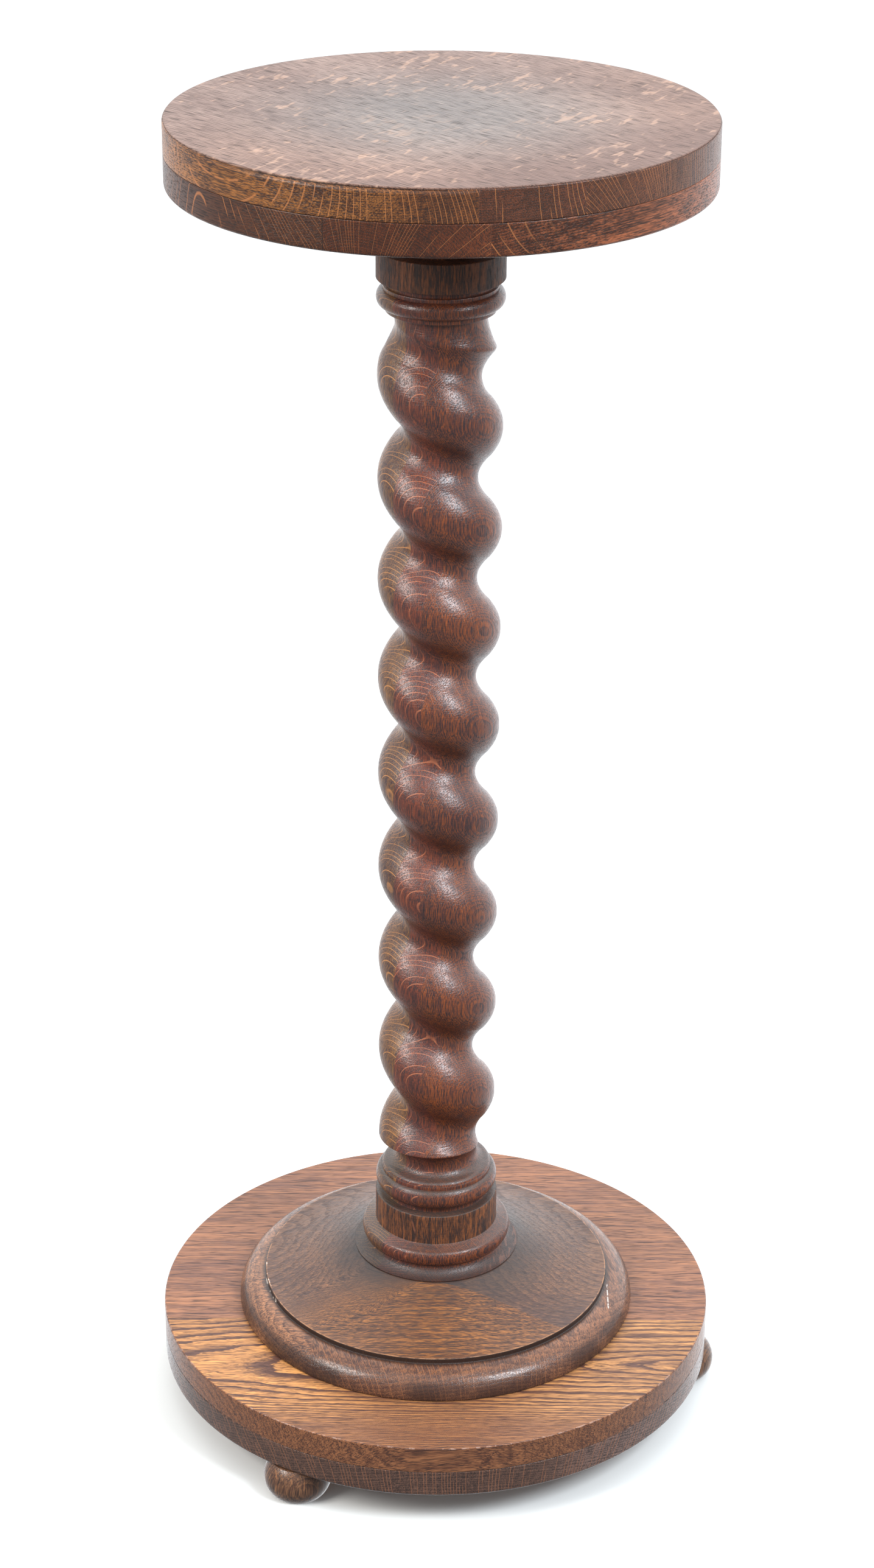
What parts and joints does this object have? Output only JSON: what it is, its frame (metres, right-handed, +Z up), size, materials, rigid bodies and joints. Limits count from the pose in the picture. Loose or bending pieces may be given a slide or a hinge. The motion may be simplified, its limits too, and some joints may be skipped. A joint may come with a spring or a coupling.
{
  "type": "oak pedestal",
  "caption": "Round oak pedestal stand with a left-handed barley-twist column, turned mouldings, a turned plinth on a round base and bun feet",
  "frame": {"origin": "on the floor under the axis of the column, at the middle of the round base", "axes": "+Z up along the column, -Y towards the front, +X to the right"},
  "size_m": [0.4295, 0.4224, 1],
  "materials": {
    "oak_board": "warm red-brown stained oak boards under a satin polish",
    "oak_turned": "dark red-brown stained and turned oak under a satin polish",
    "oak_top": "quarter-sawn oak veneer with pale ray flecks and a soft sheen",
    "oak_edge": "dark stained oak edge with orange rays, satin polish"
  },
  "bodies": {
    "root": {"top_veneer": "oak_top", "top_board_upper": "oak_edge", "top_board_lower": "oak_edge", "column": "oak_turned", "plinth": "oak_turned", "base_board_upper": "oak_board", "base_board_lower": "oak_board", "foot_front_left": "oak_turned", "foot_right": "oak_turned", "foot_back": "oak_turned"}
  },
  "joints": []
}
